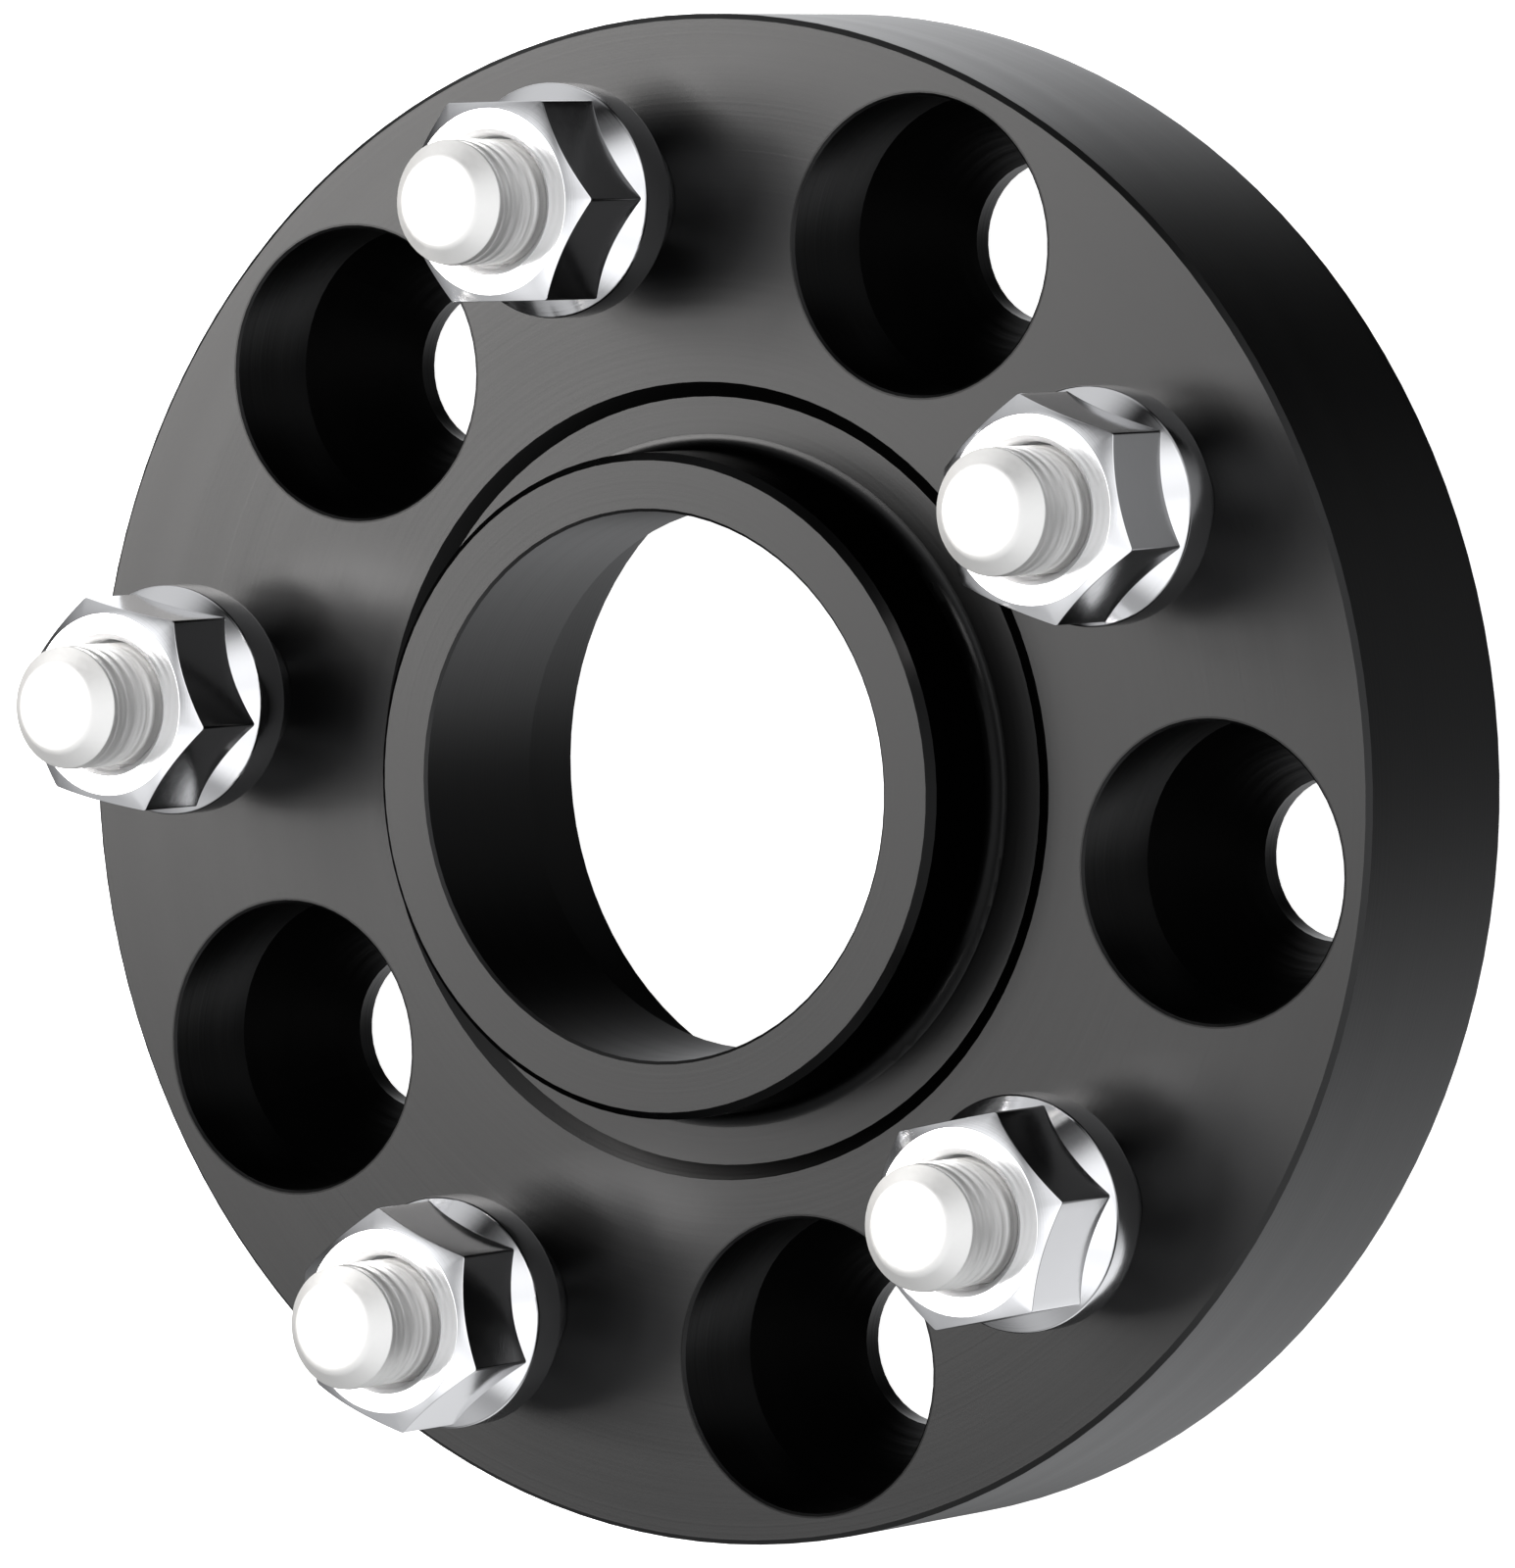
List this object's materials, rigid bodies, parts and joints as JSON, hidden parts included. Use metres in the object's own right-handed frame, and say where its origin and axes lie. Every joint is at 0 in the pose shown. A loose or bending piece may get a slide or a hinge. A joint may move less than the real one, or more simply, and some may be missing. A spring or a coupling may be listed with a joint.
{
  "type": "wheel spacer",
  "caption": "Hub-centric wheel spacer: a thick ring with a raised wheel register, counterbored hub-stud holes and pressed-in wheel studs that carry open-ended conical-seat nuts.",
  "frame": {"origin": "centre of the back face, the one that sits on the hub", "axes": "+Z along the axis from the hub towards the wheel; +X through the axis of one counterbored hub-stud hole; +Y completes a right-handed frame"},
  "size_m": [0.148, 0.148, 0.0548],
  "materials": {
    "anodised_body": "satin black anodising over turned faces",
    "stud_steel": "fine matte zinc, rolled thread",
    "plated_nut": "bright plating"
  },
  "bodies": {
    "root": {"spacer_body": "anodised_body", "wheel_stud_1": "stud_steel", "wheel_stud_2": "stud_steel", "wheel_stud_3": "stud_steel", "wheel_stud_4": "stud_steel", "wheel_stud_5": "stud_steel", "wheel_nut_1": "plated_nut", "wheel_nut_2": "plated_nut", "wheel_nut_3": "plated_nut", "wheel_nut_4": "plated_nut", "wheel_nut_5": "plated_nut"}
  },
  "joints": []
}
